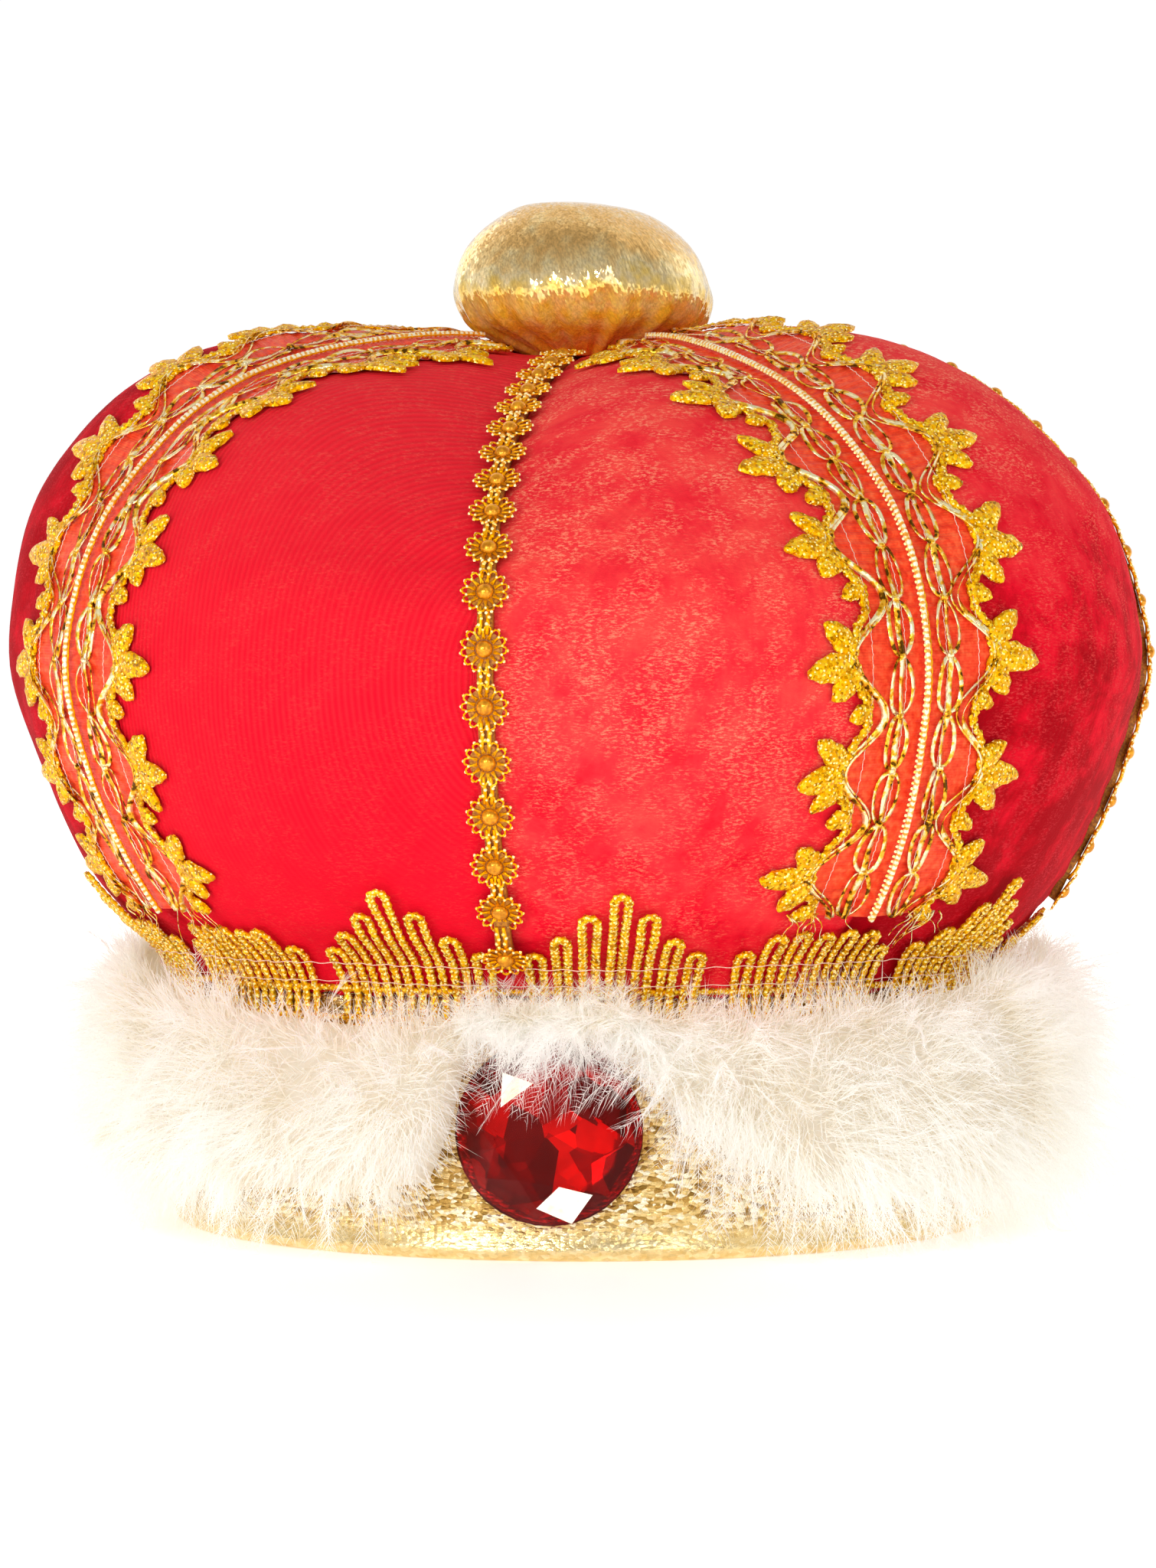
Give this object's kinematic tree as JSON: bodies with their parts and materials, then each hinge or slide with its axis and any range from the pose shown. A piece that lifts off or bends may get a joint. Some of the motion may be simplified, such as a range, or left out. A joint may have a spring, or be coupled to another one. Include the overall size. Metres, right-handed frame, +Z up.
{
  "type": "fabric crown hat",
  "caption": "Puffed red velvet crown hat with a fur trimmed gold headband, gold braid on its seams, a faceted red stone and a stuffed gold knob.",
  "frame": {"origin": "centre of the headband's flat hem, on the surface that the crown rests on", "axes": "+Z up through the knob, -Y towards the front with the red stone, +X towards the wearer's left side as seen from the front"},
  "size_m": [0.2836, 0.2831, 0.2514],
  "materials": {
    "velvet": "short-pile red velvet",
    "lame": "pale gold lame, crinkled over padding",
    "marabou": "white marabou feathers",
    "stone": "clear red acrylic, cut and polished",
    "knob_lame": "gold lame stretched over stuffing",
    "gold_lace": "gold bullion cord with glitter thread",
    "galloon": "ribbed coral ribbon with gold foil and bullion leaves",
    "piping": "cream and gold picot cord",
    "gold_braid": "gold gimp flowers with beaded loops"
  },
  "bodies": {
    "root": {"puff": "velvet", "headband": "lame", "boa": "marabou", "stone": "stone", "knob": "knob_lame", "lace_border": "gold_lace", "galloon_1": "galloon", "galloon_2": "galloon", "galloon_3": "galloon", "galloon_4": "galloon", "piping_1": "piping", "piping_2": "piping", "piping_3": "piping", "piping_4": "piping", "rosette_braid_1": "gold_braid", "rosette_braid_2": "gold_braid", "rosette_braid_3": "gold_braid", "rosette_braid_4": "gold_braid"}
  },
  "joints": []
}
